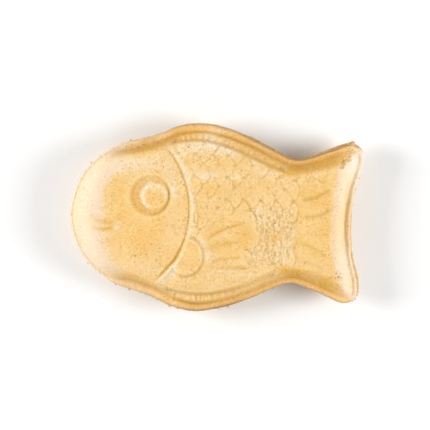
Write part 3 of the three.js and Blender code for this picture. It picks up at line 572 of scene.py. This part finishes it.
def skin_colour_masks(x, y, f):
    """How the skin baked, and where light and shade are painted: one mask for each colour that is laid over
    the golden one.
    """
    f.pale, whitened_by_painted_light = pale_skin(x, y, f.d)
    f.low = f.d - f.foot - 0.3 - 0.8 * ease(-24, -34, x)
    brow_line = bell(f.d - f.foot - 1.4 + 0.6 * ease(-50, -58, x), 1.5 + 0.6 * ease(-52, -34, x))
    f.brow = brow_line * ease(-61, -42, x) * ease(-24, -30, x) * (y > 0)
    f.tan = tan_skin(x, y, f)
    f.crack = f.gill * (0.22 * bell(f.beyond + 0.1, 0.5) + 1.4 * f.low_down * bell(f.beyond + 0.25, 0.55))
    oily = np.zeros(x.shape)
    for *patch, strength in OILY:
        oily = np.maximum(oily, strength * slanted(x, y, *patch) * (f.seed == 1))
    oily = np.maximum(oily, 1.1 * f.split)
    oily = np.maximum(oily, 1.2 * f.gill * f.low_down * bell(f.beyond + 0.3, 1.1))
    on_lip = 0.5 * ease(4.5, 3.0, f.d) * ease(0.2, 0.8, f.d)
    on_lip = on_lip * ease(-30, -10, x) * ease(62, 50, x) * (y < 0)
    fleck = np.clip(f.speckled + 0.6 * f.scaled * f.knots + f.crack + on_lip, 0, 1)
    top = np.maximum(f.inset, f.reach)
    fine = 0.3 + 0.7 * ease(top + 0.5, top + 3, f.d) * (1 - 0.6 * ease(3, 1, np.abs(f.rp - PIT[2])))
    return dict(fine=fine, pale=f.pale, whitened_by_painted_light=whitened_by_painted_light, tan=np.clip(f.tan, 0, 1),
                groove_brown_and_shade=grooves_browned_and_shaded(x, y, f), rim_brown_and_shade=rim_browned_and_shaded(x, y, f), torn=f.torn, oily=oily,
                crushed=np.clip(1.4 * f.crinkle, 0, 1), flour_and_painted_light=flour_and_painted_light_mask(x, y, f), fleck=fleck)


def press(x, y, ceiling, seed):
    """Distance in from the edge, height above the seam and colour masks of a pressed face, for baking and
    for painted light and shade.
    What one step works out for the next is carried in f."""
    f = SimpleNamespace(seed=seed)
    f.d, at = within(x, y, edge)
    f.along = np.interp(at, np.arange(len(edge_along)), edge_along)
    f.lip, f.reach, f.inset = sizes_at(x, y)
    z = lip_and_face(x, y, ceiling, f)
    z = gill_cover(x, y, z, f)
    z = eye(x, y, z, f)
    z = pectoral_fin(x, y, z, f)
    z = scaled_skin(x, y, z, f)
    z = creases_and_pores(x, y, np.minimum(z, ceiling), f)

    # fine unevenness of the skin, then the lip and valley below the foot of the slope
    f.speckled = np.zeros(x.shape)
    for patch in SPECKLED:
        f.speckled = np.maximum(f.speckled, spot(x, y, *patch))
    rough = 0.10 * lumps(x, y, 6.0, seed + 7) + 0.05 * (1 + f.speckled) * lumps(x, y, 1.5, seed + 8)
    z += f.inner * rough
    z = np.where(f.d < f.foot, f.valley, z)
    z = np.where(f.d < f.round_over, f.outer, z)
    return f.d, z, skin_colour_masks(x, y, f)


# the edge, evenly stepped, and the rows of points that run beside it on the lip
AROUND = 1000
even = np.linspace(0, edge_along[-1], AROUND, endpoint=False)
wrapped = np.vstack([edge, edge[:1]])
ring = np.stack([np.interp(even, edge_along, wrapped[:, i]) for i in (0, 1)], axis=1)
tangent = np.roll(ring, -1, axis=0) - np.roll(ring, 1, axis=0)
tangent /= np.hypot(*tangent.T)[:, None]
inward = np.stack([tangent[:, 1], -tangent[:, 0]], axis=1)
LIP_ROWS = (0.0, 0.12, 0.3, 0.55, 0.85, 1.2, 1.6, 2.05)


def pressed_half(pitch, ceiling, seed):
    """Points (x, y, height), triangles and colour masks of one half, for baking and for painted light and
    shade, its first points on the edge.
    """
    rows = [ring + inward * w for w in LIP_ROWS]
    rise = pitch * 0.866  # the rows of a grid of even triangles
    gy, gx = np.meshgrid(np.arange(-50, 50, rise), np.arange(-77, 77, pitch), indexing="ij")
    gx = gx + (np.arange(len(gx)) % 2)[:, None] * pitch / 2
    rng = np.random.default_rng(seed)
    grid = np.stack([gx.ravel(), gy.ravel()], axis=1) + rng.uniform(-0.06, 0.06, (gx.size, 2)) * pitch
    rough_d = within(grid[:, 0], grid[:, 1], edge[::3])[0]
    grid = grid[rough_d > 1.5]
    grid = grid[within(grid[:, 0], grid[:, 1], edge)[0] > LIP_ROWS[-1] + 0.3]
    flat = np.vstack(rows + [grid])
    _, _, faces, origin, _, _ = delaunay_2d_cdt([Vector(p) for p in flat], [], [], 0, 1e-7, True)
    source = np.array([o[0] for o in origin])
    faces = source[np.array(faces)]
    faces = faces[~np.all(faces < AROUND, axis=1)]  # those between three points of the edge lie outside it
    a, b, c = (flat[faces[:, i]] for i in range(3))
    flip = (b - a)[:, 0] * (c - a)[:, 1] - (b - a)[:, 1] * (c - a)[:, 0] < 0
    faces[flip] = faces[flip][:, ::-1]
    d, z, skin_masks = press(flat[:, 0], flat[:, 1], ceiling, seed)
    z[:AROUND] = 0.0
    # crests get a painted highlight and hollows painted shade: the height against that of the skin around
    # it
    onward = faces[:, [1, 2, 0]]
    start, stop = np.hstack([faces.T, onward.T]).ravel(), np.hstack([onward.T, faces.T]).ravel()
    count, soft = np.bincount(start, minlength=len(z)), z.copy()
    for _ in range(6):
        soft = np.bincount(start, soft[stop], len(z)) / np.maximum(count, 1)
    skin_masks["crest_highlight_hollow_shade"] = np.clip((z - soft) / 0.14, -1, 1) * ease(2.0, 3.4, d) * skin_masks.pop("fine")
    # the edge wanders a little, and stands out in small nubs
    off, at = nearest(flat[:, 0], flat[:, 1], ring[::2], True)
    at = (at * 2).astype(int) % AROUND
    s = even[at]
    wander = 0.20 * lumps(s, s * 0, 6.0, seed + 20) + 0.10 * lumps(s, s * 0, 1.6, seed + 21)
    if seed == 2:
        # the lower half peeps out above the tail
        wander += 1.1 * ease(65.5, 68.4, flat[:, 0]) * ease(69.4, 68.8, flat[:, 0]) * (flat[:, 1] > 38)
    moved = flat - inward[at] * (wander * bell(np.maximum(d, 0), 2.2))[:, None]
    return np.column_stack([moved, z]), faces, skin_masks


FINE_PITCH, COARSE_PITCH = 0.46, 0.85  # between the points of the side that shows, and of the other
upper, upper_faces, upper_masks = pressed_half(FINE_PITCH, 1e9, 1)
lower, lower_faces, lower_masks = pressed_half(COARSE_PITCH, REST_DEPTH - SEAM_GAP, 2)
turn_cos, turn_sin = math.cos(SLIP_TURN), math.sin(SLIP_TURN)
slip = np.array([[turn_cos, turn_sin], [-turn_sin, turn_cos]])
slipped_ring = ring @ slip + (SLIP_X, SLIP_Y)
upper[:, 2] = SEAM_GAP + upper[:, 2]
lower_height = np.maximum(-SEAM_GAP - lower[:, 2], -REST_DEPTH)
lower = np.column_stack([lower[:, :2] @ slip + (SLIP_X, SLIP_Y), lower_height])

# the seam between the halves: a shallow crumbly channel, three rows deep
seam_rows = []
for share, depth in ((0.3, 0.45), (0.5, 0.75), (0.7, 0.45)):
    row = upper[:AROUND] * (1 - share) + lower[:AROUND] * share
    wobble = 0.22 * lumps(even, even * 0 + share * 9, 0.9, 31)
    row[:, :2] += inward * (depth + wobble)[:, None]
    seam_rows.append(row)
points = np.vstack([upper, lower] + seam_rows)
first_seam = len(upper) + len(lower)
chain = [0] + [first_seam + i * AROUND for i in range(3)] + [len(upper)]
i = np.arange(AROUND)
j = (i + 1) % AROUND
strips = [q for p, n in zip(chain[:-1], chain[1:])
          for q in (np.stack([p + i, p + j, n + i], 1), np.stack([p + j, n + j, n + i], 1))]
triangles = np.vstack([upper_faces, lower_faces[:, ::-1] + len(upper)] + strips)

# in the row's frame: the middle of the smooth outline's box on the origin, the rest face on z = 0
outline = np.vstack([ring, slipped_ring])
points[:, :2] -= (outline.min(0) + outline.max(0)) / 2
points[:, 2] += REST_DEPTH
points /= 1000.0
cake_mesh = bpy.data.meshes.new("cake")
cake_mesh.from_pydata(points.tolist(), [], triangles.tolist())
cake_mesh.shade_smooth()
for name in upper_masks:
    values = np.concatenate([upper_masks[name], lower_masks[name], np.zeros(3 * AROUND)])
    cake_mesh.attributes.new(name, "FLOAT", "POINT").data.foreach_set("value", values.astype(np.float32))
seam_mask = np.zeros(len(points))
seam_mask[first_seam:] = 1.0
nose_edge = upper_masks["pale"][:AROUND] * (ring[:, 0] < 0)
seam_mask[:AROUND] = 0.7 * (1 - 0.8 * nose_edge)
seam_mask[len(upper):len(upper) + AROUND] = 0.2 * (1 - 0.8 * nose_edge)
cake_mesh.attributes.new("seam", "FLOAT", "POINT").data.foreach_set("value", seam_mask.astype(np.float32))
cake = bpy.data.objects.new("cake", cake_mesh)
add(cake)

# the baked skin: golden, with cream, tan, grooves, pale rubbed patches and pores laid over it, and painted
# highlight and painted shade on crests, hollows and slopes
crust = bpy.data.materials.new("crust")
crust.use_nodes = True
nodes, links = crust.node_tree.nodes, crust.node_tree.links
place = nodes.new("ShaderNodeTexCoord").outputs["Object"]


def fill(node, values):
    for key, value in values.items():
        node.inputs[key].default_value = value
    return node


shader = fill(nodes["Principled BSDF"], {
    "Specular IOR Level": 0.25, "Subsurface Weight": 0.06, "Subsurface Scale": 1.0,
    "Subsurface Radius": (0.0016, 0.0009, 0.0004)})


def noise(scale, detail, roughness=0.55):
    n = fill(nodes.new("ShaderNodeTexNoise"), {"Scale": scale, "Detail": detail, "Roughness": roughness})
    links.new(place, n.inputs["Vector"])
    return n.outputs["Fac"]


def worked(operation, *values, clamp=False):
    """A sum over sockets and plain numbers."""
    n = nodes.new("ShaderNodeMath")
    n.operation = operation
    n.use_clamp = clamp
    for socket, value in zip(n.inputs, values):
        if isinstance(value, float):
            socket.default_value = value
        else:
            links.new(value, socket)
    return n.outputs[0]


def times(a, b):
    return worked("MULTIPLY", a, b, clamp=True)


def folded():
    """Thin wandering lines, mostly upright: where a stretched noise crosses its middle."""
    stretch = nodes.new("ShaderNodeVectorMath")
    stretch.operation = "MULTIPLY"
    stretch.inputs[1].default_value = (1.0, 0.38, 1.0)
    links.new(place, stretch.inputs[0])
    n = fill(nodes.new("ShaderNodeTexNoise"),
             {"Scale": 320, "Detail": 2.5, "Roughness": 0.6, "Distortion": 0.4})
    links.new(stretch.outputs["Vector"], n.inputs["Vector"])
    return worked("ABSOLUTE", worked("SUBTRACT", n.outputs["Fac"], 0.5))


def spread(value, low, high, to_low=0.0, to_high=1.0):
    n = nodes.new("ShaderNodeMapRange")
    n.interpolation_type = "SMOOTHSTEP"
    fill(n, {"From Min": low, "From Max": high, "To Min": to_low, "To Max": to_high})
    links.new(value, n.inputs["Value"])
    return n.outputs["Result"]


def skin_masks(name):
    n = nodes.new("ShaderNodeAttribute")
    n.attribute_name = name
    return n.outputs["Fac"]


def named(sockets, identifier):
    return next(s for s in sockets if s.identifier == identifier)


def lay(under, over, share, blend="MIX"):
    n = nodes.new("ShaderNodeMix")
    n.data_type, n.blend_type = "RGBA", blend
    for key, value in (("A_Color", under), ("B_Color", over)):
        socket = named(n.inputs, key)
        if isinstance(value, tuple):
            socket.default_value = (*value, 1.0)
        else:
            links.new(value, socket)
    links.new(share, named(n.inputs, "Factor_Float"))
    return named(n.outputs, "Result_Color")


GOLDEN, LIGHT_GOLDEN, AMBER = (0.845, 0.525, 0.175), (0.87, 0.58, 0.235), (0.82, 0.48, 0.14)
FLOURY_AND_LIT_CREAM, CREAM, NEARLY_WHITE_PAINTED_LIGHT = (0.89, 0.735, 0.51), (0.865, 0.675, 0.48), (0.90, 0.81, 0.64)
TAN, OILY_YELLOW, GROOVE_BROWN_AND_SHADE = (0.735, 0.40, 0.07), (0.76, 0.46, 0.085), (0.56, 0.34, 0.065)
RIM_BROWN_AND_SHADE, TORN_BROWN, SEAM_BROWN = (0.46, 0.26, 0.09), (0.30, 0.17, 0.06), (0.50, 0.27, 0.10)
# LIGHTER and DARKER scale the colour: for the grain, and for painted highlight and painted shade on crests,
# hollows and fold lines
DARKER, LIGHTER, PORE_DARK = (0.55, 0.465, 0.255), (1.45, 1.535, 1.745), (0.56, 0.42, 0.22)  # factors
golden = lay(GOLDEN, LIGHT_GOLDEN, spread(noise(95, 1), 0.35, 0.68))
golden = lay(golden, AMBER, times(spread(noise(45, 1), 0.5, 0.74), 0.4))
# floury cream: partly rubbed crust, partly painted light
color = lay(golden, FLOURY_AND_LIT_CREAM, times(skin_masks("flour_and_painted_light"), spread(noise(420, 2), 0.38, 0.6, 0.6, 1.0)))
color = lay(color, CREAM, times(skin_masks("pale"), spread(noise(120, 2), 0.2, 0.6, 0.85, 1.0)))
# painted light: nearly white over the corners of the tail
color = lay(color, NEARLY_WHITE_PAINTED_LIGHT, times(skin_masks("whitened_by_painted_light"), 0.8))
color = lay(color, TAN, times(skin_masks("tan"), spread(noise(160, 2), 0.2, 0.7, 0.8, 1.0)))
color = lay(color, OILY_YELLOW, times(skin_masks("oily"), 0.55))
# painted highlight on crests and painted shade in hollows
color = lay(color, LIGHTER, times(spread(skin_masks("crest_highlight_hollow_shade"), 0.05, 1.0), 0.2), "MULTIPLY")
color = lay(color, DARKER, times(spread(skin_masks("crest_highlight_hollow_shade"), -0.05, -1.0), 0.22), "MULTIPLY")
# golden brown in the grooves: partly browned crust, partly painted shade
color = lay(color, GROOVE_BROWN_AND_SHADE, times(skin_masks("groove_brown_and_shade"), 0.5))
# browned edge of the lip, with painted shade on its outer wall and painted shadow along the seam
color = lay(color, RIM_BROWN_AND_SHADE, times(skin_masks("rim_brown_and_shade"), 0.65))
color = lay(color, TORN_BROWN, spread(skin_masks("torn"), 0.1, 0.9, 0.0, 0.8))
color = lay(color, SEAM_BROWN, times(skin_masks("seam"), 0.7))

# the grain, patchy, and weaker where the skin is pale
grain = noise(950, 3, 0.7)
smoother = worked("MULTIPLY_ADD", skin_masks("pale"), -0.4, 1.0)
patchy = times(spread(noise(110, 1), 0.4, 0.62, 0.45, 1.0), smoother)
color = lay(color, LIGHTER, times(spread(grain, 0.5, 0.72, 0.0, 0.45), patchy), "MULTIPLY")
color = lay(color, DARKER, times(spread(grain, 0.5, 0.28, 0.0, 0.60), patchy), "MULTIPLY")

# fold lines in the crushed crust, darkened as painted shade in the folds
fold_lines = times(spread(folded(), 0.035, 0.0), skin_masks("crushed"))
color = lay(color, DARKER, times(fold_lines, 0.24), "MULTIPLY")

# pinhole pores: in some cells of a pattern, and in more of them where flecks are thick
pores = fill(nodes.new("ShaderNodeTexVoronoi"), {"Scale": 650, "Randomness": 1.0})
links.new(place, pores.inputs["Vector"])
some = nodes.new("ShaderNodeSeparateColor")
links.new(pores.outputs["Color"], some.inputs["Color"])
chosen = worked("MULTIPLY_ADD", skin_masks("fleck"), 0.42, some.outputs["Red"])
pore = times(spread(pores.outputs["Distance"], 0.26, 0.12), spread(chosen, 0.84, 1.02))
color = lay(color, PORE_DARK, times(pore, 0.85), "MULTIPLY")
links.new(color, shader.inputs["Base Color"])
links.new(spread(noise(300, 2), 0.3, 0.7, 0.55, 0.78), shader.inputs["Roughness"])

# fine roughness, with pores and fold lines pressed into it
bump = fill(nodes.new("ShaderNodeBump"), {"Strength": 0.6, "Distance": 0.0004})
cavity = worked("ADD", pore, fold_lines)
links.new(worked("SUBTRACT", noise(850, 5, 0.68), cavity), bump.inputs["Height"])
links.new(bump.outputs["Normal"], shader.inputs["Normal"])
cake_mesh.materials.append(crust)
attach(cake, "root")
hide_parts("taiyaki")

# ---------------------------------------- crumbs
# Nubs of batter that squeezed out at the lip and broke off ragged, about a millimetre across, and
# finer crumbs caught on the lip and in the crushed crust. They stick to the skin.
NUBS = [  # x, y, radius
    (-46, 38, 0.75), (-65.5, 25.5, 0.65), (-65, -26, 0.55), (-50, -36.5, 0.7), (-43, -38.7, 0.75),
    (72, 24, 0.7), (70.5, 18, 0.5), (71, -16, 0.8), (29, 35.5, 0.65), (-22, -46.5, 0.75),
    (-18, -47.6, 0.5), (8, -45, 0.8), (3, -46.6, 0.5), (-61, 29, 0.4), (-28, -42.8, 0.5),
    (31, -35, 0.6), (5, 46, 0.5), (-17, 47.4, 0.4), (66.2, 40.6, 0.6), (74.6, -32, 0.6),
    (50, 34.4, 0.4), (21, 39.6, 0.5), (-34, -41, 0.4), (68.8, 5, 0.4), (-12, -48, 0.4),
    (68.6, 41.8, 0.85), (69.6, 41.4, 0.6), (67.4, 41.6, 0.5), (71.4, -38.8, 0.7), (72.7, -37.9, 0.8),
    (73.9, -36.4, 0.7), (75, -33.6, 0.4),
]
rng = np.random.default_rng(7)
shift = (outline.min(0) + outline.max(0)) / 2
spots, crumb_sizes = [], []
for px, py, r in NUBS:
    near_rim = np.argmin(np.hypot(ring[:, 0] - px, ring[:, 1] - py))
    high = rng.uniform(0.1, 1.0)
    spots.append([*(ring[near_rim] - 0.15 * r * inward[near_rim] - shift), REST_DEPTH + high])
    crumb_sizes.append(r)
for k in rng.integers(0, AROUND, 260):
    on_upper = rng.random() < 0.6
    ring_from = ring if on_upper else slipped_ring
    high = rng.uniform(0.9, 2.6) if on_upper else -rng.uniform(0.9, 2.4)
    tucked = 0.05 + 0.12 * max(0.0, abs(high) - 0.9)
    spots.append([*(ring_from[k] + tucked * inward[k] - shift), REST_DEPTH + high])
    crumb_sizes.append(rng.uniform(0.14, 0.34))
fleck_odds = upper_masks["fleck"] + 0.06
for k in rng.choice(len(upper), 240, replace=False, p=fleck_odds / fleck_odds.sum()):
    spots.append([*(upper[k, :2] - shift), REST_DEPTH + upper[k, 2]])
    crumb_sizes.append(rng.uniform(0.10, 0.22))
crumb_mesh = bpy.data.meshes.new("crumbs")
crumb_mesh.from_pydata((np.array(spots) / 1000.0).tolist(), [], [])
radii = crumb_mesh.attributes.new("radius", "FLOAT", "POINT")
radii.data.foreach_set("value", np.array(crumb_sizes, np.float32) / 1000.0)
crumbs = bpy.data.objects.new("crumbs", crumb_mesh)
add(crumbs)

scatter = bpy.data.node_groups.new("crumbs", "GeometryNodeTree")
scatter.interface.new_socket("Geometry", in_out="INPUT", socket_type="NodeSocketGeometry")
raggedness = scatter.interface.new_socket("Raggedness", in_out="INPUT", socket_type="NodeSocketFloat")
seed_socket = scatter.interface.new_socket("Seed", in_out="INPUT", socket_type="NodeSocketInt")
finish = scatter.interface.new_socket("Material", in_out="INPUT", socket_type="NodeSocketMaterial")
scatter.interface.new_socket("Geometry", in_out="OUTPUT", socket_type="NodeSocketGeometry")
make = scatter.nodes.new
group_in, group_out = make("NodeGroupInput"), make("NodeGroupOutput")
ball_node = fill(make("GeometryNodeMeshIcoSphere"), {"Radius": 1.0, "Subdivisions": 2})
place_crumbs, turn = make("GeometryNodeInstanceOnPoints"), make("FunctionNodeRandomValue")
radius = make("GeometryNodeInputNamedAttribute")
turn.data_type = "FLOAT_VECTOR"
turn.inputs["Max"].default_value = (6.283, 6.283, 6.283)
radius.data_type = "FLOAT"
radius.inputs["Name"].default_value = "radius"
realize, ragged = make("GeometryNodeRealizeInstances"), make("ShaderNodeTexNoise")
push = make("GeometryNodeSetPosition")
ragged.inputs["Scale"].default_value = 1300.0
centre, amount = make("ShaderNodeVectorMath"), make("ShaderNodeVectorMath")
centre.operation, amount.operation = "SUBTRACT", "SCALE"
centre.inputs[1].default_value = (0.5, 0.5, 0.5)
paint = make("GeometryNodeSetMaterial")
for source, result, target, entry in (
        (group_in, "Seed", turn, "Seed"), (group_in, "Geometry", place_crumbs, "Points"),
        (ball_node, "Mesh", place_crumbs, "Instance"), (turn, "Value", place_crumbs, "Rotation"),
        (radius, "Attribute", place_crumbs, "Scale"), (place_crumbs, "Instances", realize, "Geometry"),
        (realize, "Geometry", push, "Geometry"), (ragged, "Color", centre, 0),
        (centre, "Vector", amount, 0), (group_in, "Raggedness", amount, "Scale"),
        (amount, "Vector", push, "Offset"), (push, "Geometry", paint, "Geometry"),
        (group_in, "Material", paint, "Material"), (paint, "Geometry", group_out, "Geometry")):
    scatter.links.new(source.outputs[result], target.inputs[entry])

crumb_skin = crust.copy()
crumb_skin.name = "crumb"
crumb_color = crumb_skin.node_tree.nodes.new("ShaderNodeMix")
crumb_color.data_type = "RGBA"
crumb_noise = crumb_skin.node_tree.nodes.new("ShaderNodeTexNoise")
crumb_noise.inputs["Scale"].default_value = 400
for key, value in (("A_Color", (0.66, 0.42, 0.20, 1.0)), ("B_Color", (0.86, 0.68, 0.44, 1.0))):
    named(crumb_color.inputs, key).default_value = value
crumb_skin.node_tree.links.new(crumb_noise.outputs["Fac"], crumb_color.inputs["Factor"])
crumb_shader = crumb_skin.node_tree.nodes["Principled BSDF"]
crumb_result = named(crumb_color.outputs, "Result_Color")
crumb_skin.node_tree.links.new(crumb_result, crumb_shader.inputs["Base Color"])
modifier = crumbs.modifiers.new("crumbs", "NODES")
modifier.node_group = scatter
modifier[raggedness.identifier] = 0.0009  # metres
modifier[seed_socket.identifier] = 11
modifier[finish.identifier] = crumb_skin
bpy.context.view_layer.update()
solid_crumbs = bpy.data.meshes.new_from_object(crumbs.evaluated_get(bpy.context.evaluated_depsgraph_get()))
crumbs.modifiers.clear()
crumbs.data = solid_crumbs
solid_crumbs.shade_smooth()
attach(crumbs, "root")

# ---------------------------------------- floor
# A plain white surface under the cake, wide enough to reach past the frame and to carry its shadow.
floor_mesh = bpy.data.meshes.new("floor")
HALF_FLOOR = 1.5
floor_corners = [(a * HALF_FLOOR, b * HALF_FLOOR, 0) for a, b in ((-1, -1), (1, -1), (1, 1), (-1, 1))]
floor_mesh.from_pydata(floor_corners, [], [(0, 1, 2, 3)])
floor = bpy.data.objects.new("floor", floor_mesh)
add(floor)
white = bpy.data.materials.new("floor")
white.use_nodes = True
fill(white.node_tree.nodes["Principled BSDF"], {"Base Color": (0.92, 0.92, 0.92, 1.0), "Roughness": 0.9})
floor_mesh.materials.append(white)

# ---------------------------------------- light
# Bright and even, as on a copy stand: a large soft lamp low on the left, a weaker one low on the
# right, so that the slopes of the back and the belly stay darker, and a white sky over all.
LAMPS = (("left", (-0.78, 0.05, 0.46), 6.2), ("right", (0.78, -0.05, 0.46), 5.7))  # place, watts
LAMP_SIZE = 0.4
for name, place_at, power in LAMPS:
    lamp = bpy.data.lights.new(name, "AREA")
    lamp.size, lamp.energy = LAMP_SIZE, power
    lamp_object = bpy.data.objects.new(name, lamp)
    lamp_object.location = place_at
    lamp_object.rotation_euler = Vector(place_at).to_track_quat("Z", "Y").to_euler()
    add(lamp_object)
world = bpy.data.worlds.new("world")
world.use_nodes = True
fill(world.node_tree.nodes["Background"], {"Color": (1.0, 1.0, 1.0, 1.0), "Strength": 0.44})
bpy.context.scene.world = world
bpy.context.scene.view_settings.view_transform = "Standard"
